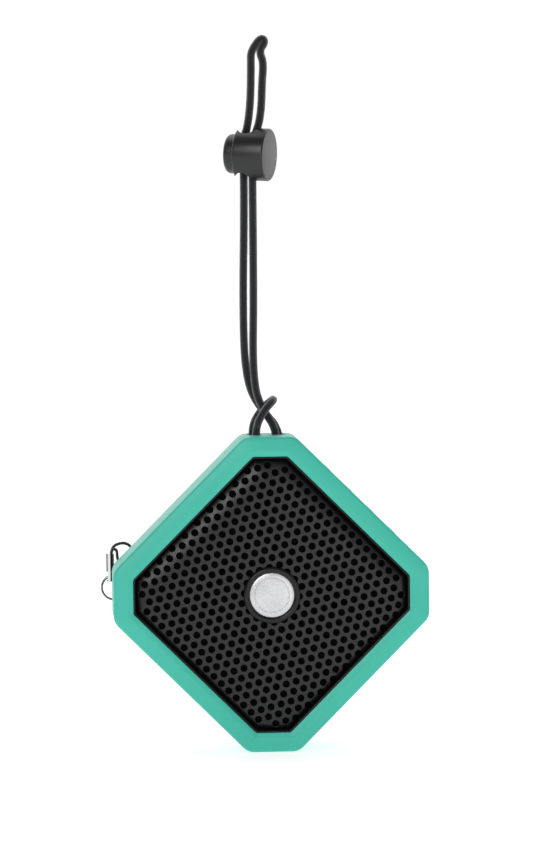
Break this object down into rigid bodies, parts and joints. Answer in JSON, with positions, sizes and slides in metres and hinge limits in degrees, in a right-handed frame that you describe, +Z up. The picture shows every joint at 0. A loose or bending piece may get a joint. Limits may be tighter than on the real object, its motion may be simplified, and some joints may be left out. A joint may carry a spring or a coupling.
{
  "type": "portable bluetooth speaker",
  "caption": "Square splash-proof speaker with cut corners, teal bumper, domed perforated grille, round badge, elastic lanyard with cord lock and a small strap with split ring.",
  "frame": {"origin": "inside top of the lanyard loop, where it hangs from a finger, hook or wrist", "axes": "+Z up along the hanging lanyard, -Y out of the grille, +X to the right of someone facing the grille"},
  "size_m": [0.1135, 0.0434, 0.2485],
  "materials": {
    "teal_shell": "satin moulded plastic",
    "black_shell": "fine textured moulded plastic",
    "black_trim": "satin gloss",
    "grille_black": "satin powder coat",
    "grille_cloth": "dense woven cloth",
    "badge_metal": "brushed",
    "soft_black": "soft touch",
    "steel": "plated",
    "chrome": "polished",
    "brass": "machined",
    "copper_coil": "enamelled winding",
    "ferrite": "sintered",
    "driver_black": "painted pressed steel",
    "cone_paper": "pressed paper",
    "spider_cloth": "resin treated cloth",
    "board_green": "solder resist",
    "chip_black": "moulded",
    "clear_lens": "clear moulding",
    "battery_foil": "foil",
    "foam_grey": "closed cell foam",
    "lead_red": "wire insulation",
    "cord_black": "braided elastic",
    "lock_black": "satin moulded plastic"
  },
  "bodies": {
    "root": {"front_bumper": "teal_shell", "bezel_ring": "black_trim", "grille": "grille_black", "grille_cloth": "grille_cloth", "badge_rim": "black_trim", "badge_plate": "badge_metal", "front_housing": "black_shell", "rear_housing": "black_shell", "housing_seal": "soft_black", "housing_screws": "steel", "lanyard_bar": "steel", "tripod_insert": "brass", "driver_basket": "driver_black", "driver_screws": "steel", "driver_gasket": "soft_black", "driver_magnet": "ferrite", "driver_top_plate": "steel", "driver_yoke": "steel", "driver_surround": "soft_black", "driver_spider": "spider_cloth", "button_panel": "soft_black", "tact_switches": "chip_black", "button_board": "board_green", "status_lens": "clear_lens", "door_pin": "steel", "charge_socket": "steel", "audio_jack": "chip_black", "port_board": "board_green", "main_board": "board_green", "board_screws": "steel", "bluetooth_module": "steel", "amplifier_chip": "chip_black", "battery_tray": "black_shell", "battery_cell": "battery_foil", "battery_pad": "foam_grey", "microphone": "steel", "speaker_leads": "lead_red", "battery_leads": "lead_red", "lanyard_cord": "cord_black", "cord_splice": "brass", "strap_cord": "cord_black", "strap_ferrule": "chrome"},
    "cone": {"voice_coil": "copper_coil", "driver_cone": "cone_paper", "dust_cap": "cone_paper"},
    "lock": {"lock_barrel": "lock_black", "lock_spring": "steel"},
    "plunger": {"lock_plunger": "lock_black"},
    "door": {"port_door": "soft_black"},
    "ring": {"split_ring": "chrome"},
    "button_power": {"button_power": "soft_black"},
    "button_play": {"button_play": "soft_black"},
    "button_volume_down": {"button_volume_down": "soft_black"},
    "button_volume_up": {"button_volume_up": "soft_black"}
  },
  "joints": [
    {"name": "lock_slide", "type": "slide", "parent": "root", "child": "lock", "axis": [0, 0, 1], "range_m": [-0.057, 0]},
    {"name": "plunger_press", "type": "slide", "parent": "lock", "child": "plunger", "axis": [0.9358, -0.3499, -0.0436], "range_m": [0, 0.002], "stiffness_N_per_m": 600, "springref_m": -0.001, "deforming": ["lock_spring"]},
    {"name": "port_door_hinge", "type": "hinge", "parent": "root", "child": "door", "pos_m": [0.04025, -0.002, -0.21378], "axis": [0, -1, 0], "range_deg": [0, 95]},
    {"name": "ring_swing", "type": "hinge", "parent": "root", "child": "ring", "pos_m": [-0.0531, 0.019, -0.1861], "axis": [1, 0, 0], "range_deg": [0, 75]},
    {"name": "cone_travel", "type": "slide", "parent": "root", "child": "cone", "axis": [0, -1, 0], "range_m": [-0.001, 0.001], "stiffness_N_per_m": 1500, "deforming": ["driver_surround", "driver_spider"]},
    {"name": "button_power_press", "type": "slide", "parent": "root", "child": "button_power", "axis": [-0.7071, 0, -0.7071], "range_m": [0, 0.0005], "stiffness_N_per_m": 1500, "springref_m": -0.0003},
    {"name": "button_play_press", "type": "slide", "parent": "root", "child": "button_play", "axis": [-0.7071, 0, -0.7071], "range_m": [0, 0.0005], "stiffness_N_per_m": 1500, "springref_m": -0.0003},
    {"name": "button_volume_down_press", "type": "slide", "parent": "root", "child": "button_volume_down", "axis": [-0.7071, 0, -0.7071], "range_m": [0, 0.0005], "stiffness_N_per_m": 1500, "springref_m": -0.0003},
    {"name": "button_volume_up_press", "type": "slide", "parent": "root", "child": "button_volume_up", "axis": [-0.7071, 0, -0.7071], "range_m": [0, 0.0005], "stiffness_N_per_m": 1500, "springref_m": -0.0003}
  ]
}
